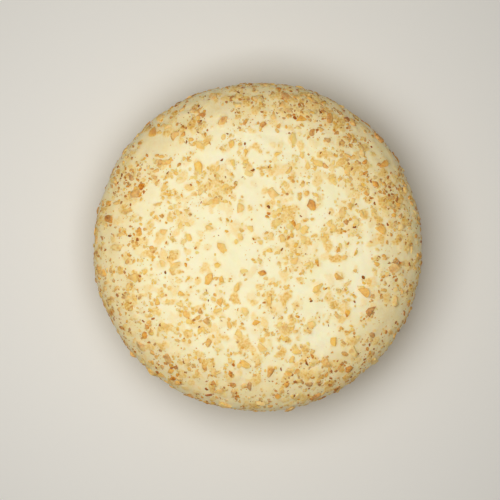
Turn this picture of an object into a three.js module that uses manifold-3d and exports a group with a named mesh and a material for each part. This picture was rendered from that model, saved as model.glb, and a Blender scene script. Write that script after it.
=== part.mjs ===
// A round carrot cake under a coat of cream-cheese icing, strewn all over with chopped toasted nuts.
// Millimetres, +Z up. The origin is the middle of the flat foot that the cake stands on.
import * as THREE from "three";
import { mergeVertices } from "three/addons/utils/BufferGeometryUtils.js";
import Module from "manifold-3d";

// Driving dimensions of the iced cake
const CAKE_RADIUS = 100;
const CAKE_HEIGHT = 70;
const CROWN_RADIUS = 66; // the level top starts to round over here
const CROWN_DROP = 1.5; // how much lower the icing lies at the rim than a flat top would
const SHOULDER_DEPTH = 22; // height of the rounded shoulder
const SIDE_DRAW_IN = 1; // how much narrower the side is at the foot
const FOOT_ROUND = 3; // radius of the rounding under the side

// Facets of the iced cake
const SEGMENTS = 60;
const CROWN_STEPS = 7;
const SHOULDER_STEPS = 8;
const SIDE_STEPS = 4;
const FOOT_STEPS = 3;

// The chopped nuts large enough to be relief in the solid
const NUT_COUNT = 200;
const NUT_LENGTH = [4.4, 8]; // shortest and longest
const NUT_LENGTH_BIAS = 1.5; // above 1, most nuts are nearer the shortest
const NUT_WIDTH_SHARE = [0.55, 0.85]; // of its length
const NUT_THICKNESS_SHARE = [0.28, 0.42]; // of its length
const NUT_SUNK_SHARE = 0.3; // how much of half its thickness lies below the icing
const NUT_TILT = 0.28; // largest tilt from lying flat, in radians
const NUT_ROUGHNESS = 0.22; // how far a corner may lie in or out, as a share
const NUT_CLEARANCE = 6; // no nut's centre lies lower than this above the foot
const GOLDEN_ANGLE = Math.PI * (3 - Math.sqrt(5));
const LATTICE_JITTER = 0.9; // of the spacing between two nuts
const AREA_STEPS = [40, 40, 30, 10]; // fine steps of the outline, to measure the icing's area by
const MERGE_DISTANCE = 1e-3; // corners closer than this are one corner

const RIM_HEIGHT = CAKE_HEIGHT - CROWN_DROP - SHOULDER_DEPTH; // where the shoulder meets the side
const SHOULDER_WIDTH = CAKE_RADIUS - CROWN_RADIUS;

// Spreading leaves the icing uneven: long low waves, each with a direction, a length, a height and a phase.
const WAVES = [
  { along: [0.92, 0.31, 0.24], length: 83, height: 0.2, phase: 0.4 },
  { along: [-0.35, 0.86, 0.37], length: 61, height: 0.2, phase: 2.1 },
  { along: [0.58, -0.71, 0.4], length: 44, height: 0.17, phase: 4.0 },
  { along: [0.71, 0.66, -0.25], length: 31, height: 0.13, phase: 1.3 },
  { along: [-0.16, 0.47, 0.87], length: 37, height: 0.15, phase: 5.2 },
];
const WAVE_FADE = 9; // the waves die out over this height above the foot

// What each random draw about a nut is for. Its corners take the numbers from CORNER on.
const [SHIFT, LENGTH, WIDTH, THICKNESS, TILT, SPIN, CORNER] = [1, 2, 3, 4, 5, 6, 10];

// A number from 0 to 1 that depends only on the two whole numbers given: the fraction of a large sine.
function chance(index, draw) {
  const x = Math.sin(index * 12.9898 + draw * 78.233) * 43758.5453;
  return x - Math.floor(x);
}

function between([low, high], share) {
  return THREE.MathUtils.lerp(low, high, share);
}

// Radius and height along the outline, from the middle of the top to the edge of the foot.
function outline(crownSteps, shoulderSteps, sideSteps, footSteps) {
  const points = [];
  const dome = (radius) => CROWN_DROP * (radius / CAKE_RADIUS) ** 2;
  for (let i = 0; i < crownSteps; i++) {
    const radius = (CROWN_RADIUS * i) / crownSteps;
    points.push(new THREE.Vector2(radius, CAKE_HEIGHT - dome(radius)));
  }
  for (let i = 0; i < shoulderSteps; i++) {
    const turn = ((Math.PI / 2) * i) / shoulderSteps;
    const radius = CROWN_RADIUS + SHOULDER_WIDTH * Math.sin(turn);
    const drop = SHOULDER_DEPTH * (1 - Math.cos(turn));
    points.push(new THREE.Vector2(radius, CAKE_HEIGHT - dome(radius) - drop));
  }
  for (let i = 0; i < sideSteps; i++) {
    const share = i / sideSteps;
    const height = RIM_HEIGHT + (FOOT_ROUND - RIM_HEIGHT) * share;
    points.push(new THREE.Vector2(CAKE_RADIUS - SIDE_DRAW_IN * share ** 2, height));
  }
  const footCentre = CAKE_RADIUS - SIDE_DRAW_IN - FOOT_ROUND;
  for (let i = 0; i <= footSteps; i++) {
    const turn = ((Math.PI / 2) * i) / footSteps;
    const height = FOOT_ROUND * (1 - Math.sin(turn));
    points.push(new THREE.Vector2(footCentre + FOOT_ROUND * Math.cos(turn), height));
  }
  return points;
}

// Which way the icing faces at a point: away from a flat disc in the middle of the cake.
function outward(point) {
  const radius = Math.hypot(point.x, point.y);
  const reach = Math.max(0, radius - CROWN_RADIUS);
  const rise = Math.max(0, point.z - RIM_HEIGHT);
  const away = new THREE.Vector3(0, 0, rise / SHOULDER_DEPTH ** 2);
  if (radius > 0) {
    away.x = (reach / SHOULDER_WIDTH ** 2) * (point.x / radius);
    away.y = (reach / SHOULDER_WIDTH ** 2) * (point.y / radius);
  }
  return away.normalize();
}

// How far the icing stands out from the even outline at a point.
function unevenness(point) {
  let height = 0;
  for (const wave of WAVES) {
    const [x, y, z] = wave.along;
    const distance = x * point.x + y * point.y + z * point.z;
    height += wave.height * Math.cos((2 * Math.PI * distance) / wave.length + wave.phase);
  }
  return height * THREE.MathUtils.smoothstep(point.z, 0, WAVE_FADE);
}

function onIcing(point) {
  return point.clone().addScaledVector(outward(point), unevenness(point));
}

// The iced cake without nuts: the outline turned about +Z, then made uneven.
function icedCakeGeometry() {
  const points = outline(CROWN_STEPS, SHOULDER_STEPS, SIDE_STEPS, FOOT_STEPS);
  points.push(new THREE.Vector2(0, 0));
  const turned = new THREE.LatheGeometry(points.reverse(), SEGMENTS).rotateX(Math.PI / 2);
  const position = turned.getAttribute("position");
  for (let i = 0; i < position.count; i++) {
    const point = new THREE.Vector3().fromBufferAttribute(position, i);
    if (point.z > 0) position.setXYZ(i, ...onIcing(point).toArray());
  }
  return turned;
}

// Nut number index: a rough twenty-sided lump of size 1, before it is stretched and laid down.
function roughLump(index) {
  const lump = new THREE.IcosahedronGeometry(1, 0);
  lump.deleteAttribute("normal");
  lump.deleteAttribute("uv");
  const merged = mergeVertices(lump, MERGE_DISTANCE);
  const position = merged.getAttribute("position");
  for (let i = 0; i < position.count; i++) {
    const stretch = 1 + NUT_ROUGHNESS * (2 * chance(index, CORNER + i) - 1);
    const corner = new THREE.Vector3().fromBufferAttribute(position, i);
    position.setXYZ(i, ...corner.multiplyScalar(stretch).toArray());
  }
  return merged;
}

// Shares of the icing's area from the middle of the top down, with the outline point that each ends at.
function areaTable() {
  const fine = outline(...AREA_STEPS).filter((point) => point.y >= NUT_CLEARANCE);
  const table = [{ area: 0, point: fine[0] }];
  for (let i = 1; i < fine.length; i++) {
    const band = Math.PI * (fine[i].x + fine[i - 1].x) * fine[i].distanceTo(fine[i - 1]);
    table.push({ area: table[i - 1].area + band, point: fine[i] });
  }
  return table;
}

// Where the nuts lie: a sunflower pattern down the cake, each nut shifted a little at random.
function nutPlaces(table) {
  const total = table.at(-1).area;
  const spacing = Math.sqrt(total / NUT_COUNT);
  const places = [];
  for (let index = 0; index < NUT_COUNT; index++) {
    const area = (total * (index + 0.5)) / NUT_COUNT;
    const row = table.findIndex((entry) => entry.area >= area);
    const [above, below] = [table[row - 1], table[row]];
    const share = (area - above.area) / (below.area - above.area);
    const at = above.point.clone().lerp(below.point, share);
    const shift = LATTICE_JITTER * spacing * (chance(index, SHIFT) - 0.5);
    const turn = index * GOLDEN_ANGLE + shift / Math.max(at.x, spacing);
    places.push(new THREE.Vector3(at.x * Math.cos(turn), at.x * Math.sin(turn), at.y));
  }
  return places;
}

// A nut's stretch, turn and place on the icing, as one matrix.
function nutMatrix(place, index) {
  const length = between(NUT_LENGTH, chance(index, LENGTH) ** NUT_LENGTH_BIAS);
  const width = length * between(NUT_WIDTH_SHARE, chance(index, WIDTH));
  const thickness = length * between(NUT_THICKNESS_SHARE, chance(index, THICKNESS));
  const facing = outward(place);
  const lying = new THREE.Quaternion().setFromUnitVectors(new THREE.Vector3(0, 0, 1), facing);
  const tilt = NUT_TILT * (2 * chance(index, TILT) - 1);
  const spin = new THREE.Euler(tilt, 0, 2 * Math.PI * chance(index, SPIN), "ZXY");
  lying.multiply(new THREE.Quaternion().setFromEuler(spin));
  const lift = (thickness / 2) * (1 - 2 * NUT_SUNK_SHARE);
  const centre = onIcing(place).addScaledVector(facing, lift);
  const size = new THREE.Vector3(length / 2, width / 2, thickness / 2);
  return new THREE.Matrix4().compose(centre, lying, size);
}

const wasm = await Module();
wasm.setup();

// A closed geometry as a solid that can be joined. Triangles that shrank to a line at the axis are dropped.
function solidOf(geometry) {
  const bare = new THREE.BufferGeometry();
  bare.setAttribute("position", geometry.getAttribute("position"));
  bare.setIndex(geometry.getIndex());
  const merged = mergeVertices(bare, MERGE_DISTANCE);
  const corners = merged.getIndex().array;
  const kept = [];
  for (let i = 0; i < corners.length; i += 3) {
    const [a, b, c] = corners.slice(i, i + 3);
    if (a !== b && b !== c && c !== a) kept.push(a, b, c);
  }
  const vertProperties = new Float32Array(merged.getAttribute("position").array);
  return new wasm.Manifold(
    new wasm.Mesh({ numProp: 3, vertProperties, triVerts: new Uint32Array(kept) }),
  );
}

function geometryOf(solid) {
  const { vertProperties, triVerts } = solid.getMesh();
  const geometry = new THREE.BufferGeometry();
  geometry.setAttribute("position", new THREE.BufferAttribute(vertProperties, 3));
  geometry.setIndex(new THREE.BufferAttribute(triVerts, 1));
  geometry.computeVertexNormals();
  return geometry;
}

// The cake and its nuts joined into one solid. Sealed hollows and loose scraps are left behind.
function nuttyCake() {
  const pieces = [solidOf(icedCakeGeometry())];
  nutPlaces(areaTable()).forEach((place, index) => {
    pieces.push(solidOf(roughLump(index).applyMatrix4(nutMatrix(place, index))));
  });
  const bodies = wasm.Manifold.union(pieces).decompose();
  return bodies.reduce((best, body) => (body.volume() > best.volume() ? body : best));
}

const icing = new THREE.MeshStandardMaterial({ color: 0xf5ebcb, roughness: 0.55, metalness: 0 });
const cake = new THREE.Mesh(geometryOf(nuttyCake()), icing);
cake.name = "iced_cake";

const carrotCake = new THREE.Group();
carrotCake.add(cake);

export default carrotCake;
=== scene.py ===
# %% [markdown]
# # A carrot cake under cream-cheese icing
#
# The cake is round, a whole one from a 200 mm tin. It is spread all over with cream-cheese icing, and while
# the icing is soft it is strewn with toasted nuts, chopped from the size of a pea down to dust. The packed
# solid of the cake is the fixed frame: everything here lies where that solid says.

import bmesh
import bpy
import numpy as np
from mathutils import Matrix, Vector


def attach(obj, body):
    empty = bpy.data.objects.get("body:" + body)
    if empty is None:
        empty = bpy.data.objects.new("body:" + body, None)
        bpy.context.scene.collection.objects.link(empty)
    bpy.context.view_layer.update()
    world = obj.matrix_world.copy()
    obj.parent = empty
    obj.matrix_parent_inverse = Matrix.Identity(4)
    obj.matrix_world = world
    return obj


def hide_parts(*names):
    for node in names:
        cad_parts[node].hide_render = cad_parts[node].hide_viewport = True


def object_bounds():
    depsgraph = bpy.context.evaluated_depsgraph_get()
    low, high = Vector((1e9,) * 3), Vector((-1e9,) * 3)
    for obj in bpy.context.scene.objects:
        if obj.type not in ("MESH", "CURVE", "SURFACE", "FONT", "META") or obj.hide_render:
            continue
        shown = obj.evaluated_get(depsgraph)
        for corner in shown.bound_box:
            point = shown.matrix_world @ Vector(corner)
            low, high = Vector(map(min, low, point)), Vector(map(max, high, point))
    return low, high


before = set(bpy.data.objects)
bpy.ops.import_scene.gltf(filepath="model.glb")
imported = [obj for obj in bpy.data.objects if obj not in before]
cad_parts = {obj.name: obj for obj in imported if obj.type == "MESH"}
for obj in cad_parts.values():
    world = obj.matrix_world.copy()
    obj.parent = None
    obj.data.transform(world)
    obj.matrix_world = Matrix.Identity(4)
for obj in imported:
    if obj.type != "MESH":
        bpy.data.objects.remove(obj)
cad_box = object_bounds()
MM = 0.001  # one millimetre, in metres
FULL_TURN = 2 * np.pi
QUARTER_TURN = FULL_TURN / 4
solid_size = [round(v / MM, 1) for v in cad_box[1] - cad_box[0]]
print("frame loaded:", sorted(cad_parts), "sizes in mm", solid_size)

# %% [markdown]
# ## The camera
#
# The picture is taken from straight above, from far enough away that the sides stay hidden under the
# shoulder. One pixel spans 0.6 mm at the top of the cake. The camera stands beside the cake's axis by as
# much as the cake lies beside the middle of the picture.

# %% Camera
PICTURE_SIDE_PX = 500
CAKE_MIDDLE_PX = (258, 247)  # where the cake's axis meets the picture
PIXEL = 0.6 * MM
CAKE_HEIGHT = 70 * MM
CAMERA_DISTANCE = 1200 * MM  # above the top of the cake

camera_data = bpy.data.cameras.new("camera")
camera = bpy.data.objects.new("camera", camera_data)
bpy.context.scene.collection.objects.link(camera)
bpy.context.scene.camera = camera
camera_data.lens = camera_data.sensor_width * CAMERA_DISTANCE / (PICTURE_SIDE_PX * PIXEL)
camera.location = (
    (PICTURE_SIDE_PX / 2 - CAKE_MIDDLE_PX[0]) * PIXEL,
    (CAKE_MIDDLE_PX[1] - PICTURE_SIDE_PX / 2) * PIXEL,
    CAKE_HEIGHT + CAMERA_DISTANCE,
)
print("camera lens", round(camera_data.lens), "mm, at", [round(v, 4) for v in camera.location])

# %% [markdown]
# ## Colours and nodes
#
# Colours are written as the hex values that a paint program shows. Blender's shaders count light instead, so
# one function turns hex into linear values. A second one adds a node with its settings and its links, which
# keeps each material as short as its recipe.


# %% Helpers for materials
def linear(hex_colour):
    """Linear colour of an sRGB hex value: c / 12.92 up to 0.04045, above it ((c + 0.055) / 1.055) ** 2.4."""
    channels = np.array([int(hex_colour[i : i + 2], 16) / 255 for i in (1, 3, 5)])
    low = channels / 12.92
    high = ((channels + 0.055) / 1.055) ** 2.4
    return (*np.where(channels <= 0.04045, low, high), 1.0)


def add(tree, kind, inputs, stops=(), **settings):
    """Adds a node. An input that is given a socket is linked to it, any other is set to its value.

    The stops of a colour ramp are pairs of a place, 0 to 1, and a hex colour."""
    node = tree.nodes.new("ShaderNode" + kind)
    for name, value in settings.items():
        setattr(node, name, value)
    for name, value in inputs.items():
        if isinstance(value, bpy.types.NodeSocket):
            tree.links.new(value, node.inputs[name])
        else:
            node.inputs[name].default_value = value
    for _ in stops[2:]:  # a new ramp has two
        node.color_ramp.elements.new(0.5)
    for number, (place, colour) in enumerate(stops):
        node.color_ramp.elements[number].position = place
        node.color_ramp.elements[number].color = linear(colour)
    return node


def new_material(name):
    """An empty node material, its tree and its output node."""
    material = bpy.data.materials.new(name)
    material.use_nodes = True
    tree = material.node_tree
    tree.nodes.clear()
    return material, tree, add(tree, "OutputMaterial", {})


MIX_SHARE, MIX_FIRST, MIX_SECOND = 0, 6, 7  # sockets of a Mix node that mixes colours
MIX_RESULT = 2
print("hex #808080 is", round(linear("#808080")[0], 3), "of full light")

# %% [markdown]
# ## Floor and light
#
# A cake like this is shown on a plain pale table. One soft lamp hangs above it, near enough for the light
# to fall off down the shoulder, and leaning towards the left of the picture, where the shoulder stays
# brightest. The camera looks past the lamp. A dim even sky fills in the sides, and the floor throws some
# light back up.

# %% Floor
FLOOR_SIDE = 8000 * MM

matt_board, tree, output = new_material("matt_pale_board")
surface = add(tree, "BsdfDiffuse", {"Color": linear("#F1EEE7")})
tree.links.new(surface.outputs[0], output.inputs["Surface"])

corner = FLOOR_SIDE / 2
floor_corners = [(-corner, -corner, 0), (corner, -corner, 0), (corner, corner, 0), (-corner, corner, 0)]
floor_mesh = bpy.data.meshes.new("floor")
floor_mesh.from_pydata(floor_corners, [], [(0, 1, 2, 3)])
floor_mesh.materials.append(matt_board)
floor = bpy.data.objects.new("floor", floor_mesh)
bpy.context.scene.collection.objects.link(floor)
print("floor", FLOOR_SIDE, "m wide")

# %% Light
LAMP_DISTANCE = 500 * MM
LAMP_SIDE = 320 * MM
LAMP_LEAN = np.radians(7)  # from straight up
LAMP_BEARING = np.radians(180)  # turned from +X towards +Y
LAMP_POWER = 1.68  # watts
SKY_STRENGTH = 0.25

lamp_data = bpy.data.lights.new("overhead_lamp", "AREA")
lamp_data.energy = LAMP_POWER
lamp_data.size = LAMP_SIDE
lamp = bpy.data.objects.new("overhead_lamp", lamp_data)
bpy.context.scene.collection.objects.link(lamp)
lamp.rotation_euler = (LAMP_LEAN, 0, LAMP_BEARING + QUARTER_TURN)
lean = np.sin(LAMP_LEAN) * LAMP_DISTANCE
rise = np.cos(LAMP_LEAN) * LAMP_DISTANCE
lamp.location = (lean * np.cos(LAMP_BEARING), lean * np.sin(LAMP_BEARING), rise)

sky = bpy.data.worlds.new("sky")
bpy.context.scene.world = sky
sky.use_nodes = True
sky.node_tree.nodes["Background"].inputs["Color"].default_value = linear("#FFFCF5")
sky.node_tree.nodes["Background"].inputs["Strength"].default_value = SKY_STRENGTH
bpy.context.scene.view_settings.view_transform = "Standard"
print("lamp at", [round(v, 2) for v in lamp.location])

# %% [markdown]
# ## The outline of the cake
#
# Cut through its axis, the iced cake is a nearly level crown, a shoulder that rounds over as a quarter of an
# ellipse, a side that draws in slightly, and a small round at the foot. The sizes are those of the solid.
# The outline is measured by the area of icing above each point, because a scatter that is even by area is
# even on the cake.

# %% Outline
CAKE_RADIUS = 100 * MM
CROWN_RADIUS = 66 * MM  # the level top starts to round over here
CROWN_DROP = 1.5 * MM
SHOULDER_DEPTH = 22 * MM
SIDE_DRAW_IN = 1 * MM
FOOT_ROUND = 3 * MM
SHOULDER_WIDTH = CAKE_RADIUS - CROWN_RADIUS
RIM_HEIGHT = CAKE_HEIGHT - CROWN_DROP - SHOULDER_DEPTH
OUTLINE_STEPS = 200  # for each of its four stretches


def dome(radius):
    """How far the crown has dropped at a radius: its square, as a share of the drop at the side."""
    return CROWN_DROP * (radius / CAKE_RADIUS) ** 2


def outline():
    """Radius and height down the outline: crown, shoulder, side and foot, one after the other.

    The crown drops with the square of the radius. The shoulder goes out by the sine of an angle and down by
    1 less its cosine. The side draws in with the square of the way down. The foot is a quarter circle."""
    share = np.linspace(0, 1, OUTLINE_STEPS, endpoint=False)
    turn = share * QUARTER_TURN
    crown = share * CROWN_RADIUS
    shoulder = CROWN_RADIUS + SHOULDER_WIDTH * np.sin(turn)
    side = CAKE_RADIUS - SIDE_DRAW_IN * share**2
    foot_turn = np.linspace(0, QUARTER_TURN, OUTLINE_STEPS)
    foot = CAKE_RADIUS - SIDE_DRAW_IN - FOOT_ROUND * (1 - np.cos(foot_turn))
    heights = [
        CAKE_HEIGHT - dome(crown),
        CAKE_HEIGHT - dome(shoulder) - SHOULDER_DEPTH * (1 - np.cos(turn)),
        RIM_HEIGHT + (FOOT_ROUND - RIM_HEIGHT) * share,
        FOOT_ROUND * (1 - np.sin(foot_turn)),
    ]
    return np.concatenate([crown, shoulder, side, foot]), np.concatenate(heights)


line_radius, line_height = outline()
line_step = np.hypot(np.diff(line_radius), np.diff(line_height))
line_way = np.concatenate([[0], np.cumsum(line_step)])  # way down the outline from the middle of the top
ring_area = np.pi * (line_radius[1:] + line_radius[:-1]) * line_step
line_area = np.concatenate([[0], np.cumsum(ring_area)])
icing_area = line_area[-1]
print("icing:", round(icing_area / MM**2), "square mm, outline", round(line_way[-1] / MM, 1), "mm long")

# %% [markdown]
# ## The form of the icing
#
# A spatula leaves icing uneven. The long low waves are those of the solid, so that the two agree to a
# fraction of a millimetre. On them lie finer marks: faint strokes that follow the cake round, as the spatula
# and the turntable leave them, and small soft dents. All of it is worked out at any place on the cake, so
# the nuts can be laid on exactly the same surface.


# %% Noise and easing
NOISE_WAVES = 28  # plane waves in one noise
NOISE_LENGTHS = (1.4, 2.8)  # of its waves, as multiples of its size


def noise(points, size, seed):
    """Soft noise of about this size and spread 1: the sum of plane waves of random direction and phase."""
    rng = np.random.default_rng(seed)
    along = rng.normal(size=(NOISE_WAVES, 3))
    multiple = rng.uniform(*NOISE_LENGTHS, (NOISE_WAVES, 1))
    along /= np.linalg.norm(along, axis=1, keepdims=True) * multiple * size
    phase = rng.uniform(0, FULL_TURN, NOISE_WAVES)
    return np.cos(FULL_TURN * points @ along.T + phase).sum(-1) * np.sqrt(2 / NOISE_WAVES)


def smooth_step(value, low, high):
    """0 below low and 1 above high, with an easy curve t² (3 - 2 t) between them."""
    t = np.clip((value - low) / (high - low), 0, 1)
    return t * t * (3 - 2 * t)


print("easing, a quarter of the way:", smooth_step(0.25, 0, 1))

# %% Icing form
WAVES = [  # direction, length, height and phase, as in the solid
    ((0.92, 0.31, 0.24), 83 * MM, 0.2 * MM, 0.4),
    ((-0.35, 0.86, 0.37), 61 * MM, 0.2 * MM, 2.1),
    ((0.58, -0.71, 0.4), 44 * MM, 0.17 * MM, 4.0),
    ((0.71, 0.66, -0.25), 31 * MM, 0.13 * MM, 1.3),
    ((-0.16, 0.47, 0.87), 37 * MM, 0.15 * MM, 5.2),
]
WAVE_FADE = 9 * MM  # the waves die out over this height above the foot
STROKE_SPACING = 7 * MM
STROKE_HEIGHT = 0.05 * MM
STROKE_WANDER = 1.6  # radians by which the strokes stray from true circles
STROKE_WANDER_SIZE = 30 * MM
STROKE_PATCH = 18 * MM  # the strokes come and go over patches of this size
DENTS = [(15 * MM, 0.11 * MM), (6 * MM, 0.06 * MM), (2.6 * MM, 0.03 * MM)]  # size across and height


def facing_at(points):
    """The way the icing faces, which is how the shoulder's ellipse faces.

    It is outwards by the distance past the crown over the shoulder's width squared, and upwards by the
    height above the rim over the shoulder's depth squared."""
    radius = np.hypot(points[..., 0], points[..., 1])
    reach = np.maximum(0, radius - CROWN_RADIUS) / SHOULDER_WIDTH**2
    rise = np.maximum(0, points[..., 2] - RIM_HEIGHT) / SHOULDER_DEPTH**2
    sideways = points[..., :2] * (reach / np.maximum(radius, MM))[..., None]
    facing = np.concatenate([sideways, rise[..., None]], -1)
    return facing / np.linalg.norm(facing, axis=-1, keepdims=True)


def outline_at(area, azimuth):
    """Points of the plain outline, turned about the axis, by the area above them and the azimuth."""
    radius = np.interp(area, line_area, line_radius)
    height = np.interp(area, line_area, line_height)
    return np.stack([radius * np.cos(azimuth), radius * np.sin(azimuth), height], -1)


def icing_at(area, azimuth):
    """Points of the icing and their facing, by the area above them and the azimuth.

    The outline's points are moved along their facing by the waves, the strokes and the dents. Those are
    cosines and noises of the place, and they all fade out towards the foot."""
    points = outline_at(area, azimuth)
    rise = np.zeros(points.shape[:-1])
    for along, length, tall, phase in WAVES:
        rise += tall * np.cos(FULL_TURN * (points @ np.array(along)) / length + phase)
    way = np.interp(area, line_area, line_way)
    wander = STROKE_WANDER * noise(points, STROKE_WANDER_SIZE, seed=11)
    stroke = np.cos(FULL_TURN * way / STROKE_SPACING + wander)
    rise += STROKE_HEIGHT * stroke * noise(points, STROKE_PATCH, seed=12)
    for number, (size, tall) in enumerate(DENTS):
        rise += tall * noise(points, size, seed=20 + number)
    rise *= smooth_step(points[..., 2], 0, WAVE_FADE)
    facing = facing_at(points)
    return points + facing * rise[..., None], facing


# %% [markdown]
# ## A grid without a pole
#
# Circles and spokes would crowd the grid in the middle of the top and stretch it at the side. Instead a
# square of cells is bent onto the cake: square rings become round ones, and each cell keeps an equal share
# of the area. The cells on the top are a little under a millimetre each way. Down the side they narrow to
# half a millimetre and stretch to 1.4 mm tall. The square's edge becomes the edge of the foot.

# %% Grid
CELLS = 312  # along each side of the square


def on_cake(u, v):
    """Area and azimuth of a point of the square, -1 to 1 each way.

    The larger of the two is the ring, and its square is the share of the area inside that ring. The other
    one, as a share of the ring, is the way along an eighth of a turn to either side of that axis."""
    sideways = np.abs(u) >= np.abs(v)
    ring = np.where(sideways, u, v)
    safe = np.where(ring == 0, 1, ring)
    along = np.where(sideways, v, u) / safe * QUARTER_TURN / 2
    azimuth = np.where(sideways, along, QUARTER_TURN - along) + np.where(ring < 0, np.pi, 0)
    return ring**2 * icing_area, azimuth


def on_square(area, azimuth):
    """The way back: the point of the square for an area and an azimuth.

    The ring is the root of the share of the area, and the azimuth's quarter says which side it is on."""
    eighth = QUARTER_TURN / 2
    ring = np.sqrt(area / icing_area)
    turned = (azimuth + eighth) % FULL_TURN
    quarter = np.floor(turned / QUARTER_TURN).astype(int) % 4
    along = (turned - quarter * QUARTER_TURN - eighth) / eighth * ring
    u = np.choose(quarter, [ring, -along, -ring, along])
    v = np.choose(quarter, [along, ring, -along, -ring])
    return u, v


marks = np.linspace(-1, 1, CELLS + 1)
grid_u, grid_v = np.meshgrid(marks, marks, indexing="ij")
grid_area, grid_azimuth = on_cake(grid_u, grid_v)
grid_points, grid_facing = icing_at(grid_area, grid_azimuth)
grid_radius = np.hypot(grid_points[..., 0], grid_points[..., 1])
print("grid of", grid_points.shape[:2], "top at", round(grid_points[..., 2].max() / MM, 2), "mm")

# %% [markdown]
# ## Where the nuts lie
#
# Nuts are strewn by hand, so they lie in loose heaps with barer icing between them, and more of them on the
# shoulder, where the hand turns the cake. The heaps and bare spots on the top are named places. Everywhere
# else a soft noise makes them. A place is drawn evenly by area, and kept with a chance that follows how
# thickly the nuts lie there.

# %% Heaps and bare spots
HEAPS = [  # x and y in mm, and how much thicker the nuts lie there
    (84, 29, 3.4), (35, 85, 3.4), (88, -26, 1.8), (20, 87, 3.0), (66, -66, 1.2), (55, 63, 2.2),
    (28, -72, 1.2), (-7, 87, 2.4), (-24, 37, 3.0), (-41, 71, 1.5), (60, 38, 2.4), (49, -76, 0.9),
    (25, -8, 1.5), (-77, 43, 0.8), (17, 21, 1.6), (11, -30, 1.0), (55, 16, 0.9), (76, 35, 1.4),
    (46, -31, 1.0), (23, 42, 0.9), (19, 1, 1.2),
]
BARE_SPOTS = [  # x and y in mm, and how much thinner
    (38, -56, 1.4), (64, -9, 1.8), (48, -15, 1.8), (-15, 2, 1.1), (0, 59, 1.6), (-30, 54, 1.7),
    (33, -31, 1.2), (-4, 39, 1.2), (-66, 62, 1.6), (62, -37, 1.2), (38, 36, 1.2), (-52, 64, 1.3),
    (43, 68, 1.1), (92, -5, 1.2), (74, 55, 1.8), (55, -63, 1.5), (82, -40, 1.8), (-26, 77, 1.2),
    (20, 65, 0.9),
]
HEAP_REACH = 9 * MM
HEAP_STRENGTH = 1.3  # times the amounts above
EVEN_THICKNESS = 1.1  # before anything below raises or lowers it
THINNEST = 0.06
THICKEST = 5
PATCH_SIZE = 5 * MM
PATCH_STRENGTH = 0.5
WIDE_PATCH_SIZE = 15 * MM  # these lie off the top, where nothing is named
WIDE_PATCH_STRENGTH = 0.25
EXTRAS = [  # how much thicker, and the radii between which that sets in
    (0.5, 34 * MM, 50 * MM),  # the top, outside its middle
    (0.3, 70 * MM, 84 * MM),  # the shoulder
]
FOOT_THINNING = (-6 * MM, 22 * MM)  # heights between which the nuts thin out: the foot keeps a tenth


def thickness_at(points):
    """How thickly nuts lie: one even value, raised and lowered by noise, by the radius and by named places.

    A named place adds or takes away its amount times exp(-(distance / reach)²)."""
    radius = np.hypot(points[..., 0], points[..., 1])
    on_top = points[..., 2] > RIM_HEIGHT + SHOULDER_DEPTH / 3
    thick = EVEN_THICKNESS + PATCH_STRENGTH * noise(points, PATCH_SIZE, seed=31)
    thick += WIDE_PATCH_STRENGTH * noise(points, WIDE_PATCH_SIZE, seed=32) * ~on_top
    for much, start, full in EXTRAS:
        thick += much * smooth_step(radius, start, full)
    for sign, spots in ((1, HEAPS), (-1, BARE_SPOTS)):
        for x, y, much in spots:
            gap = np.hypot(points[..., 0] - x * MM, points[..., 1] - y * MM)
            thick += sign * HEAP_STRENGTH * much * np.exp(-((gap / HEAP_REACH) ** 2)) * on_top
    thick *= smooth_step(points[..., 2], *FOOT_THINNING)
    return np.clip(thick, THINNEST, THICKEST)


print("nuts lie", round(thickness_at(grid_points).mean(), 2), "thick on average")

# %% Drawing places
DRAWS = 8  # places drawn for each one wanted, so that enough are kept
LOWEST_NUT = 2.5 * MM
LOWEST_BESIDE = 3 * MM


def area_above(height):
    """Area of the icing above a height."""
    return np.interp(-height, -line_height, line_area)


def scatter(count, rng):
    """Draws this many places by area and azimuth, each kept with a chance that follows the thickness."""
    area = rng.uniform(0, area_above(LOWEST_NUT), DRAWS * count)
    azimuth = rng.uniform(0, FULL_TURN, DRAWS * count)
    needed = rng.uniform(0, THICKEST, DRAWS * count)
    kept = np.flatnonzero(needed < thickness_at(outline_at(area, azimuth)))[:count]
    return area[kept], azimuth[kept]


def beside(area, azimuth, count, reach, rng):
    """Draws places beside those given. Along and down the outline they are a normal draw times reach away."""
    which = rng.integers(0, len(area), count)
    along, down = rng.normal(size=(2, count)) * reach
    way = np.abs(np.interp(area[which], line_area, line_way) + down)
    way = np.minimum(way, np.interp(-LOWEST_BESIDE, -line_height, line_way))
    radius = np.maximum(np.interp(way, line_way, line_radius), 2 * reach)
    return np.interp(way, line_way, line_area), azimuth[which] + along / radius


print("nuts are strewn on", round(100 * area_above(LOWEST_NUT) / icing_area, 1), "percent of the icing")

# %% [markdown]
# ## How a nut is chopped
#
# A knife leaves flat faces. Each nut starts as a round solid with a rough skin, and a few random planes then
# cut it: whatever lies beyond a plane is pressed flat onto it. What is left is stretched back to size 1. The
# whole scatter is one array, so a thousand nuts are cut at once.


# %% Chopping
CUT_DEPTH = (0.25, 0.7)  # distance of a cut from the middle, as a share of the radius


def round_solid(subdivisions):
    """Corners and triangles of a ball of radius 1, of 20 triangles, or of 80 with two subdivisions."""
    ball = bmesh.new()
    bmesh.ops.create_icosphere(ball, subdivisions=subdivisions, radius=1)
    corners = np.array([corner.co for corner in ball.verts])
    faces = np.array([[corner.index for corner in face.verts] for face in ball.faces])
    ball.free()
    return corners, faces


def unit_directions(shape, rng):
    """Random directions of length 1: three normal draws, divided by their length."""
    along = rng.normal(size=(*shape, 3))
    return along / np.linalg.norm(along, axis=-1, keepdims=True)


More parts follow.
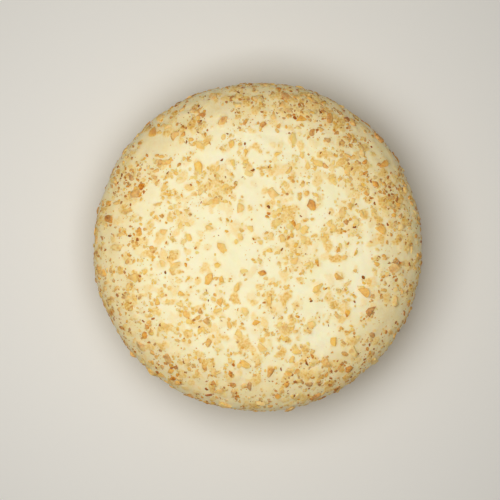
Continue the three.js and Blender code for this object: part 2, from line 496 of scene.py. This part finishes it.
def chop(corners, count, cuts, rough, rng):
    """Copies of a solid, each corner stretched at random, then pressed flat where it is beyond a plane.

    Each copy is then moved and stretched to reach from -1 to 1 along each axis."""
    lumps = corners * (1 + rough * rng.uniform(-1, 1, (count, len(corners), 1)))
    for _ in range(cuts):
        across = unit_directions((count, 1), rng)
        depth = rng.uniform(*CUT_DEPTH, (count, 1))
        beyond = np.maximum(0, (lumps * across).sum(-1) - depth)
        lumps = lumps - beyond[..., None] * across
    low, high = lumps.min(1, keepdims=True), lumps.max(1, keepdims=True)
    return (lumps - (low + high) / 2) / ((high - low) / 2)


print("triangles of a small and a large nut:", [len(round_solid(level)[1]) for level in (1, 2)])


# %% Laying down
def turned_to(facing):
    """Matrices that turn +Z to each facing the shortest way.

    That is 1 + K + K² / (1 + z), where K is the cross product with the axis and z the facing's height."""
    x, y, z = facing.T
    none = np.zeros_like(x)
    cross = np.stack([none, none, x, none, none, y, -x, -y, none], -1).reshape(-1, 3, 3)
    return np.eye(3) + cross + cross @ cross / (1 + z)[:, None, None]


def spun(spin, tilt):
    """Matrices that tilt about X and then spin about Z."""
    c, s, ct, st = np.cos(spin), np.sin(spin), np.cos(tilt), np.sin(tilt)
    none = np.zeros_like(c)
    return np.stack([c, -s * ct, s * st, s, c * ct, -c * st, none, st, ct], -1).reshape(-1, 3, 3)


def laid_down(lumps, size, points, facing, spin, tilt, lift):
    """Lumps stretched to size, spun and tilted, and laid on the icing, lifted along its facing."""
    turn = turned_to(facing) @ spun(spin, tilt)
    placed = np.einsum("kij,kvj->kvi", turn, lumps * size[:, None, :] / 2)
    return placed + (points + facing * lift[:, None])[:, None, :]


print("+Z turned to +X:", turned_to(np.array([[1.0, 0.0, 0.0]]))[0] @ (0, 0, 1))

# %% [markdown]
# ## Sizes of the nuts
#
# Chopping gives a few large pieces, many bits, and far more crumbs. The largest are the nuts that the solid
# carries too: they keep its places, sizes and turns, worked out by the same rule, a sunflower pattern down
# the cake with each nut shifted a little, and are bedded a little deeper. All smaller ones are strewn by the
# scatter above. Some nuts sink right under the icing and get no mesh, only a stain. Bits and crumbs mostly
# lie beside a larger nut or over a sunk one, as they broke off there.

# %% Sizes of the large nuts
SOLID_NUTS = 200
SOLID_NUT_LENGTH = (4.4 * MM, 8 * MM)
SOLID_NUT_BIAS = 1.5  # lengths crowd towards the shorter end by this power
SOLID_NUT_LOWEST = 6 * MM
WIDTH_SHARE = (0.55, 0.85)  # of the length
THICKNESS_SHARE = (0.28, 0.42)  # of the length
TILT = 0.28  # radians at most
JITTER = 0.9  # shift along the ring, as a share of the spacing
GOLDEN_ANGLE = np.pi * (3 - np.sqrt(5))


def chance(index, draw):
    """A number from 0 to 1 from two whole numbers: the fraction of a large sine, as in the solid."""
    return (np.sin(index * 12.9898 + draw * 78.233) * 43758.5453) % 1


def between(ends, share):
    """The number that lies this share of the way from one end to the other."""
    return ends[0] + (ends[1] - ends[0]) * share


def solid_nuts():
    """Area, azimuth, size, spin and tilt of the nuts that the solid carries.

    Each nut has an equal share of the area, and is one golden angle on from the nut before it."""
    index = np.arange(SOLID_NUTS)
    total = area_above(SOLID_NUT_LOWEST)
    area = total * (index + 0.5) / SOLID_NUTS
    spacing = np.sqrt(total / SOLID_NUTS)
    shift = JITTER * spacing * (chance(index, 1) - 0.5)
    azimuth = index * GOLDEN_ANGLE + shift / np.maximum(np.interp(area, line_area, line_radius), spacing)
    length = between(SOLID_NUT_LENGTH, chance(index, 2) ** SOLID_NUT_BIAS)
    width = length * between(WIDTH_SHARE, chance(index, 3))
    thick = length * between(THICKNESS_SHARE, chance(index, 4))
    size = np.stack([length, width, thick], -1)
    return area, azimuth, size, FULL_TURN * chance(index, 6), TILT * (2 * chance(index, 5) - 1)


chunks = solid_nuts()
print("large nuts:", len(chunks[0]), "mean length", round(chunks[2][:, 0].mean() / MM, 2), "mm")

# %% Sizes of the strewn nuts
BROKEN_OFF = 0.6  # share of the small nuts that lie beside a larger one
BROKEN_REACH = 1.7 * MM


def strewn_nuts(count, lengths, bias, rng, larger=None):
    """The same for nuts strewn at random, with lengths that crowd towards the shorter end by the bias.

    Where larger nuts are given, a share of the strewn ones lies beside them, as they broke off there."""
    area, azimuth = scatter(count, rng)
    if larger is not None:
        area_beside, azimuth_beside = beside(*larger, int(BROKEN_OFF * count), BROKEN_REACH, rng)
        area = np.concatenate([area[len(area_beside) :], area_beside])
        azimuth = np.concatenate([azimuth[len(azimuth_beside) :], azimuth_beside])
    length = between(lengths, rng.random(len(area)) ** bias)
    width = length * between(WIDTH_SHARE, rng.random(len(area)))
    thick = length * between(THICKNESS_SHARE, rng.random(len(area)))
    spin = rng.uniform(0, FULL_TURN, len(area))
    return area, azimuth, np.stack([length, width, thick], -1), spin, TILT * rng.uniform(-1, 1, len(area))


rng = np.random.default_rng(586)
pieces = strewn_nuts(1130, (2.3 * MM, 5.2 * MM), 1.5, rng)
sunk_nuts = strewn_nuts(2150, (2.0 * MM, 7.4 * MM), 1.9, rng)
larger = [np.concatenate(places) for places in zip(chunks[:2], pieces[:2], sunk_nuts[:2])]
bits = strewn_nuts(4050, (1.0 * MM, 2.9 * MM), 1.2, rng, larger)
crumbs = strewn_nuts(8500, (0.6 * MM, 1.2 * MM), 1.1, rng, larger)
SCATTERS = {"nut_chunks": chunks, "nut_pieces": pieces, "nut_bits": bits, "nut_crumbs": crumbs}
for name, (area, azimuth, size, spin, tilt) in SCATTERS.items():
    cover = (size[:, 0] * size[:, 1]).sum() * np.pi / 4 / icing_area
    print(name, len(area), "pieces, cover", round(100 * cover, 1), "percent of the icing")

# %% [markdown]
# ## Icing round the nuts
#
# A nut that drops into soft icing pushes it up into a low mound, and its oil stains the icing golden. Many
# more lie just under the icing, where they show only as pale golden patches. Both are worked out on the
# grid: each nut looks at the cells round it, and raises and stains those that lie within its own uneven
# ellipse. On the shoulder and the side the icing is tinted golden as painted warm shade, most towards the
# rim, and in the heaps the dust of the nuts stains it too.

# %% Mounds and stains
MOUND_SHARE = 0.2  # of the nut's thickness
MOUND_REACH = 1.7  # times the nut's size, where it ends
MOUND_LEVEL = 0.2  # times the nut's size, as far as the mound is level
STAIN_REACH = 0.25 * MM  # how far past the nut its stain goes
STAIN_EDGE = (0.8, 1.25)  # the stain's soft edge, as multiples of that ellipse
RAGGED_SHARE = 0.2  # how uneven the ellipses are
RAGGED_SIZE = 2.4 * MM
GRID_CELL = 0.5 * MM  # the narrowest cell, at the side
SHOULDER_PAINTED_SHADE = 0.32  # how far the icing is tinted golden on the shoulder: painted warm shade
SIDE_PAINTED_SHADE = 0.1  # and on the side, the same painted shade, weaker
PAINTED_SHADE_HEIGHTS = (44 * MM, 58 * MM)  # between which the side's goes over into the shoulder's
PAINTED_SHADE_RADII = (62 * MM, 90 * MM)  # between which it sets in
DUST_STAIN = 0.4  # how far nut dust stains the icing in the heaps
DUST_THICKNESS = (1.3, 3.8)  # thickness of nuts between which that sets in
STAINS = {  # least and most of the stain round each kind
    "nut_chunks": (0.2, 0.6),
    "nut_pieces": (0.2, 0.6),
    "nut_bits": (0.1, 0.5),
    "sunk": (0.22, 0.95),
}
ragged = 1 + RAGGED_SHARE * noise(grid_points, RAGGED_SIZE, seed=41)


def cells_near(points, facing, square, size, spin):
    """Grid cells near each nut, and how far out each lies: 0 at its middle, 1 on its ellipse, made uneven."""
    reach = size[:, :2] / 2 + STAIN_REACH
    half = int(np.ceil(MOUND_REACH * reach.max() / GRID_CELL))
    steps = np.arange(-half, half + 1)
    window = np.stack(np.meshgrid(steps, steps, indexing="ij"), -1).reshape(-1, 2)
    cells = np.rint((np.stack(square, -1) + 1) / 2 * CELLS).astype(int)
    near = np.clip(cells[:, None, :] + window, 0, CELLS)
    i, j = near[..., 0], near[..., 1]
    axes = (turned_to(facing) @ spun(spin, 0 * spin))[..., :2] / reach[:, None, :]
    gap = (grid_points[i, j] - points[:, None, :]) @ axes
    return (i, j), np.linalg.norm(gap, axis=-1) * ragged[i, j]


# Painted warm shade: the icing turns golden towards the rim, on the shoulder and the side.
painted_shade = between((SIDE_PAINTED_SHADE, SHOULDER_PAINTED_SHADE), smooth_step(grid_points[..., 2], *PAINTED_SHADE_HEIGHTS))
dust = DUST_STAIN * smooth_step(thickness_at(grid_points), *DUST_THICKNESS)
stain_and_shade = np.maximum(painted_shade * smooth_step(grid_radius, *PAINTED_SHADE_RADII), dust)
mound = np.zeros_like(grid_area)
for name, ends in STAINS.items():
    area, azimuth, size, spin, tilt = SCATTERS.get(name, sunk_nuts)
    points, facing = icing_at(area, azimuth)
    near, out = cells_near(points, facing, on_square(area, azimuth), size, spin)
    strength = between(ends, rng.random((len(area), 1)))
    np.maximum.at(stain_and_shade, near, strength * (1 - smooth_step(out, *STAIN_EDGE)))
    np.maximum.at(mound, near, MOUND_SHARE * size[:, 2:] * (1 - smooth_step(out, MOUND_LEVEL, MOUND_REACH)))
print("stain, mean", round(stain_and_shade.mean(), 3), "; mound, mean", round(mound.mean() / MM, 3), "mm")

# %% [markdown]
# ## Meshes from arrays
#
# Blender takes a mesh fastest as flat arrays: corner places, the corners of each face in turn, and where
# each face starts. A value for each corner, such as the stain, goes into a named attribute that a material
# can read.


# %% Helpers for meshes
def new_piece(name, corners, faces, values, material):
    """A mesh object from corner places, arrays of faces with equal corner counts, and values by corner."""
    corner_numbers = np.concatenate([some.ravel() for some in faces]).astype(np.int32)
    counts = np.concatenate([np.full(len(some), some.shape[1]) for some in faces])
    starts = np.concatenate([[0], np.cumsum(counts)[:-1]]).astype(np.int32)
    mesh = bpy.data.meshes.new(name)
    mesh.vertices.add(len(corners))
    mesh.vertices.foreach_set("co", corners.astype(np.float32).ravel())
    mesh.loops.add(len(corner_numbers))
    mesh.loops.foreach_set("vertex_index", corner_numbers)
    mesh.polygons.add(len(counts))
    mesh.polygons.foreach_set("loop_start", starts)
    mesh.update(calc_edges=True)
    mesh.shade_smooth()
    for title, numbers in values.items():
        attribute = mesh.attributes.new(title, "FLOAT", "POINT")
        attribute.data.foreach_set("value", numbers.astype(np.float32).ravel())
    mesh.materials.append(material)
    piece = bpy.data.objects.new(name, mesh)
    bpy.context.scene.collection.objects.link(piece)
    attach(piece, "root")
    print(name, "has", len(corners), "corners and", len(counts), "faces")
    return piece


# %% [markdown]
# ## Cream-cheese icing
#
# Cream cheese beaten with butter and sugar is a soft, dense paste: off-white with a warm yellow cast, matt
# with a faint sheen from its fat, and slightly translucent, so light bleeds a millimetre or so through it
# and small shadows stay soft. The oil of the nuts stains it golden, and towards the rim the same golden tint
# is painted shade. Its air bubbles and sugar grains are about 0.1 mm, too fine to show from this far, so the
# grain is drawn half a millimetre across.

# %% Icing colour
cream_cheese, tree, output = new_material("cream_cheese_icing")
place = add(tree, "TexCoord", {}).outputs["Object"]
# This attribute holds the nut stains and, towards the rim, painted shade.
stain_and_shade_input = add(tree, "Attribute", {}, attribute_name="stain_and_shade").outputs["Fac"]
blotches = add(tree, "TexNoise", {"Vector": place, "Scale": 1 / (9 * MM), "Detail": 3.0, "Roughness": 0.6})
specks = add(tree, "TexNoise", {"Vector": place, "Scale": 1 / (1.3 * MM), "Detail": 2.0, "Roughness": 0.5})
cream = add(tree, "ValToRGB", {"Fac": blotches.outputs[0]}, stops=[(0.3, "#F3E8BB"), (0.62, "#F5EDC8")])
uneven = {"Value": specks.outputs[0], "From Min": 0.3, "From Max": 0.7, "To Min": 0.65, "To Max": 1.2}
broken = add(tree, "MapRange", uneven)
stain_and_shade_share = add(tree, "Math", {0: stain_and_shade_input, 1: broken.outputs[0]}, operation="MULTIPLY", use_clamp=True)
# Golden where nuts stain the icing, and towards the rim as painted shade.
golden = add(tree, "ValToRGB", {"Fac": stain_and_shade_share.outputs[0]}, stops=[(0.6, "#F1C457"), (1, "#E0AE4C")])
layers = {MIX_SHARE: stain_and_shade_share.outputs[0], MIX_FIRST: cream.outputs[0], MIX_SECOND: golden.outputs[0]}
coloured = add(tree, "Mix", layers, data_type="RGBA")
print(cream_cheese.name, "colour:", len(tree.nodes), "nodes")

# %% Icing surface
sheen = add(tree, "MapRange", {"Value": blotches.outputs[0], "To Min": 0.48, "To Max": 0.62})
grain = add(tree, "TexNoise", {"Vector": place, "Scale": 1 / (0.55 * MM), "Detail": 2.0})
lumps = add(tree, "Bump", {"Height": specks.outputs[0], "Strength": 0.5, "Distance": 0.12 * MM})
fine_relief = {"Height": grain.outputs[0], "Strength": 0.4, "Distance": 0.05 * MM, "Normal": lumps.outputs[0]}
fine = add(tree, "Bump", fine_relief)
paste_look = {
    "Base Color": coloured.outputs[MIX_RESULT],
    "Roughness": sheen.outputs[0],
    "Normal": fine.outputs[0],
    "Specular IOR Level": 0.35,
    "IOR": 1.45,
    "Subsurface Weight": 0.5,
    "Subsurface Radius": (1.0, 0.75, 0.35),
    "Subsurface Scale": 1.4 * MM,
}
paste = add(tree, "BsdfPrincipled", paste_look)
tree.links.new(paste.outputs[0], output.inputs["Surface"])
print(cream_cheese.name, "in all:", len(tree.nodes), "nodes")

# %% [markdown]
# ## The icing
#
# The grid, raised by its mounds, is the icing's skin. The square's edge lies on the floor, and a fan of
# triangles to the middle of the foot closes it.

# %% Icing piece
mound_rise = mound * smooth_step(grid_points[..., 2], 0, WAVE_FADE)
raised = grid_points + grid_facing * mound_rise[..., None]
number = np.arange((CELLS + 1) ** 2).reshape(CELLS + 1, CELLS + 1)
quads = np.stack([number[:-1, :-1], number[1:, :-1], number[1:, 1:], number[:-1, 1:]], -1).reshape(-1, 4)
edge = np.concatenate([number[:-1, 0], number[-1, :-1], number[:0:-1, -1], number[0, :0:-1]])
middle = np.full_like(edge, number.size)
fan = np.stack([np.roll(edge, -1), edge, middle], -1)
icing_corners = np.concatenate([raised.reshape(-1, 3), np.zeros((1, 3))])
icing_stain_and_shade = np.concatenate([stain_and_shade.ravel(), [0]])
icing = new_piece("icing", icing_corners, [quads, fan], {"stain_and_shade": icing_stain_and_shade}, cream_cheese)
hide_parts("iced_cake")

# %% [markdown]
# ## Toasted nut
#
# Chopped and toasted nut flesh is dry and matt, waxy inside, pale where it was cut and golden to brown where
# it was toasted. Bits toast a little more than large pieces, and the finest crumbs come from inside and are
# palest. Papery red-brown skin still sits on some. The icing is wet when they drop into it, so a thin smear
# of it veils each nut more or less, which is what makes many of them look pale and soft-edged. The crumble
# of a nut's flesh is finer than shows, so it is drawn half a millimetre across.

# %% Nut colour
TOAST_COLOURS = ["#F6D785", "#F5C96A", "#F0B84D", "#E4A036", "#CB7A16", "#9E4C06"]  # from pale to dark
toast_stops = [(step / (len(TOAST_COLOURS) - 1), colour) for step, colour in enumerate(TOAST_COLOURS)]

toasted_nut, tree, output = new_material("chopped_toasted_nut")
place = add(tree, "TexCoord", {}).outputs["Object"]
toast = add(tree, "Attribute", {}, attribute_name="toast").outputs["Fac"]
skin = add(tree, "Attribute", {}, attribute_name="skin").outputs["Fac"]
mottle = add(tree, "TexNoise", {"Vector": place, "Scale": 1 / (1.4 * MM), "Detail": 2.0, "Roughness": 0.55})
uneven = {"Value": mottle.outputs[0], "From Min": 0.25, "From Max": 0.75, "To Min": -0.24, "To Max": 0.24}
shift = add(tree, "MapRange", uneven)
browned = add(tree, "Math", {0: toast, 1: shift.outputs[0]}, operation="ADD", use_clamp=True)
flesh = add(tree, "ValToRGB", {"Fac": browned.outputs[0]}, stops=toast_stops)
layers = {MIX_SHARE: skin, MIX_FIRST: flesh.outputs[0], MIX_SECOND: linear("#BE7424")}
skinned = add(tree, "Mix", layers, data_type="RGBA")
print(toasted_nut.name, "flesh and skin:", len(tree.nodes), "nodes")

# %% Veil of icing on the nuts
veil = add(tree, "Attribute", {}, attribute_name="veil").outputs["Fac"]
smears = add(tree, "TexNoise", {"Vector": place, "Scale": 1 / (2.3 * MM), "Detail": 1.0})
uneven = {"Value": smears.outputs[0], "From Min": 0.3, "From Max": 0.7, "To Min": 0.6, "To Max": 1.4}
broken = add(tree, "MapRange", uneven)
smear = add(tree, "Math", {0: veil, 1: broken.outputs[0]}, operation="MULTIPLY", use_clamp=True)
layers = {MIX_SHARE: smear.outputs[0], MIX_FIRST: skinned.outputs[MIX_RESULT], MIX_SECOND: linear("#F3D590")}
coated = add(tree, "Mix", layers, data_type="RGBA")
print(toasted_nut.name, "with its veil:", len(tree.nodes), "nodes")

# %% Nut surface
crumble = add(tree, "TexNoise", {"Vector": place, "Scale": 1 / (0.5 * MM), "Detail": 2.0})
rough = add(tree, "Bump", {"Height": crumble.outputs[0], "Strength": 0.5, "Distance": 0.06 * MM})
nut_look = {
    "Base Color": coated.outputs[MIX_RESULT],
    "Roughness": 0.7,
    "Normal": rough.outputs[0],
    "Specular IOR Level": 0.12,
    "IOR": 1.45,
    "Subsurface Weight": 0.4,
    "Subsurface Radius": (1.0, 0.6, 0.2),
    "Subsurface Scale": 1.0 * MM,
}
nut_flesh = add(tree, "BsdfPrincipled", nut_look)
tree.links.new(nut_flesh.outputs[0], output.inputs["Surface"])
print(toasted_nut.name, "in all:", len(tree.nodes), "nodes")

# %% [markdown]
# ## The nuts
#
# Each kind is one mesh. Larger nuts get a finer round solid and more cuts, because their faces show. All of
# them sit on the mounds, so a share of the mound's height at their place is added to their lift. Each corner
# carries how toasted its nut is, how much icing veils it, and whether skin still sits there. The nuts are
# darker on the shoulder and the side, which is painted shade added to their toast, and small ones are
# browner in the golden patches, beside larger nuts.

# %% Nut pieces
NUT_ROUGHNESS = 0.12
NUT_ON_MOUND = 0.5  # share of the mound's height that lifts a nut
SKIN_CHANCE = 0.16
SKIN_EDGE = {1: (0.5, 0.75), 2: (0.65, 0.9)}  # by subdivisions, how far to one side skin begins and is whole
BROWNER_BESIDE = 0.28  # how much more toasted small nuts are on full stain than on clean icing
BESIDE_MIDDLE = 0.4  # the stain at which they are as toasted as the others
BROWNER_SIDE = 0.14  # how much more toasted one side of a nut is than its middle
SHOULDER_NUT_SHADE = 0.4  # how much darker the nuts on the shoulder and the side are: painted shade, added to the toast
NUT_SHADE_RADII = (62 * MM, 88 * MM)  # between which that sets in
SHARP_ANGLE = np.radians(38)
KINDS = {  # the last two are the beta distributions that the toasting and the veil follow
    "nut_chunks": {"subdivisions": 2, "cuts": 7, "sunk": 0.42, "toasted": (2.4, 4.8), "veiled": (2.8, 2.4)},
    "nut_pieces": {"subdivisions": 2, "cuts": 5, "sunk": 0.52, "toasted": (2.3, 4.0), "veiled": (2.5, 2.5)},
    "nut_bits": {"subdivisions": 1, "cuts": 3, "sunk": 0.48, "toasted": (2.5, 3.6), "veiled": (1.6, 2.8)},
    "nut_crumbs": {"subdivisions": 1, "cuts": 2, "sunk": 0.5, "toasted": (1.9, 5.0), "veiled": (1.3, 3.0)},
}


def field_at(field, square):
    """A field's value at points of the square, blended from the four grid points round each."""
    u, v = ((np.clip(part, -1, 1) + 1) / 2 * CELLS for part in square)
    i, j = (np.minimum(part.astype(int), CELLS - 1) for part in (u, v))
    a, b = u - i, v - j
    low = field[i, j] * (1 - b) + field[i, j + 1] * b
    return low * (1 - a) + (field[i + 1, j] * (1 - b) + field[i + 1, j + 1] * b) * a


def copied_faces(faces, corners, count):
    """Faces of all copies of a solid: its own, with the corners of each copy numbered on from the last."""
    return (faces + len(corners) * np.arange(count)[:, None, None]).reshape(-1, 3)


def nut_piece(name, rng, subdivisions, cuts, sunk, toasted, veiled):
    """One mesh of all the nuts of a kind, chopped, coloured and laid on the icing."""
    area, azimuth, size, spin, tilt = SCATTERS[name]
    count = len(area)
    corners, faces = round_solid(subdivisions)
    lumps = chop(corners, count, cuts, NUT_ROUGHNESS, rng)
    points, facing = icing_at(area, azimuth)
    square = on_square(area, azimuth)
    lift = size[:, 2] / 2 * (1 - 2 * sunk) + NUT_ON_MOUND * field_at(mound, square)
    placed = laid_down(lumps, size, points, facing, spin, tilt, lift)
    veil = np.repeat(rng.beta(*veiled, count), len(corners))
    towards = (corners * unit_directions((count, 1), rng)).sum(-1)
    radius = np.hypot(points[:, 0], points[:, 1])
    # Towards the shoulder the toast is raised as painted shade.
    toast = rng.beta(*toasted, count) + SHOULDER_NUT_SHADE * smooth_step(radius, *NUT_SHADE_RADII)
    if subdivisions == 1:
        toast += BROWNER_BESIDE * (field_at(stain_and_shade, square) - BESIDE_MIDDLE)
    toast = np.clip(toast[:, None] + BROWNER_SIDE * towards, 0, 1)
    skinned = (rng.random(count) < SKIN_CHANCE)[:, None]
    skin = smooth_step(towards, *SKIN_EDGE[subdivisions]) * skinned
    values = {"toast": toast, "skin": skin, "veil": veil}
    piece = new_piece(name, placed.reshape(-1, 3), [copied_faces(faces, corners, count)], values, toasted_nut)
    piece.data.set_sharp_from_angle(angle=SHARP_ANGLE)


for name, look in KINDS.items():
    nut_piece(name, rng, **look)

# %% [markdown]
# ## Scraps of skin
#
# The papery skin that rubs off toasted nuts is red brown, thin and curled, and has a slight sheen. Each scrap
# is a small dished plate, thicker in the middle than at its edge, and lies flat or half tipped up on the
# icing.

# %% Skin material
papery_skin, tree, output = new_material("papery_nut_skin")
place = add(tree, "TexCoord", {}).outputs["Object"]
toast = add(tree, "Attribute", {}, attribute_name="toast").outputs["Fac"]
veins = add(tree, "TexNoise", {"Vector": place, "Scale": 1 / (0.7 * MM), "Detail": 2.0})
uneven = {"Value": veins.outputs[0], "From Min": 0.25, "From Max": 0.75, "To Min": -0.15, "To Max": 0.15}
shift = add(tree, "MapRange", uneven)
darkness = add(tree, "Math", {0: toast, 1: shift.outputs[0]}, operation="ADD", use_clamp=True)
brown = add(tree, "ValToRGB", {"Fac": darkness.outputs[0]}, stops=[(0, "#C67828"), (1, "#8E4A16")])
paper_look = {"Base Color": brown.outputs[0], "Roughness": 0.7, "Specular IOR Level": 0.2, "IOR": 1.5}
paper = add(tree, "BsdfPrincipled", paper_look)
tree.links.new(paper.outputs[0], output.inputs["Surface"])
print(papery_skin.name, "in all:", len(tree.nodes), "nodes")

# %% Skin pieces
SKIN_SCRAPS = 220
SKIN_LENGTH = (1.0 * MM, 2.8 * MM)
SKIN_BIAS = 1.8
SKIN_WIDTH_SHARE = (0.3, 0.75)
SKIN_THICKNESS = 0.18 * MM
SKIN_ROUGHNESS = 0.25
SKIN_CUTS = 2
SKIN_CURL = 0.35  # rise of its ends, as a share of its length
SKIN_CURLED = (-0.3, 1)  # least and most of that curl
SKIN_TILT = 0.5  # radians at most
SKIN_LIFT = 0.1 * MM
SKIN_ON_MOUND = 0.7
SKIN_TOASTED = (2.0, 2.0)  # the beta distribution of its darkness


def skin_scraps(rng):
    """One mesh of all scraps: flattened round solids whose ends curl up with the square of the way out."""
    area, azimuth = scatter(SKIN_SCRAPS, rng)
    count = len(area)
    corners, faces = round_solid(1)
    lumps = chop(corners, count, SKIN_CUTS, SKIN_ROUGHNESS, rng)
    length = between(SKIN_LENGTH, rng.random(count) ** SKIN_BIAS)
    width = length * between(SKIN_WIDTH_SHARE, rng.random(count))
    size = np.stack([length, width, np.full(count, SKIN_THICKNESS)], -1)
    curl = SKIN_CURL * rng.uniform(*SKIN_CURLED, count) * length / SKIN_THICKNESS
    lumps[..., 2] += curl[:, None] * lumps[..., 0] ** 2
    points, facing = icing_at(area, azimuth)
    lift = SKIN_LIFT + SKIN_ON_MOUND * field_at(mound, on_square(area, azimuth))
    spin = rng.uniform(0, FULL_TURN, count)
    tilt = SKIN_TILT * rng.uniform(-1, 1, count)
    placed = laid_down(lumps, size, points, facing, spin, tilt, lift)
    values = {"toast": np.repeat(rng.beta(*SKIN_TOASTED, count), len(corners))}
    all_faces = [copied_faces(faces, corners, count)]
    piece = new_piece("nut_skins", placed.reshape(-1, 3), all_faces, values, papery_skin)


skin_scraps(rng)
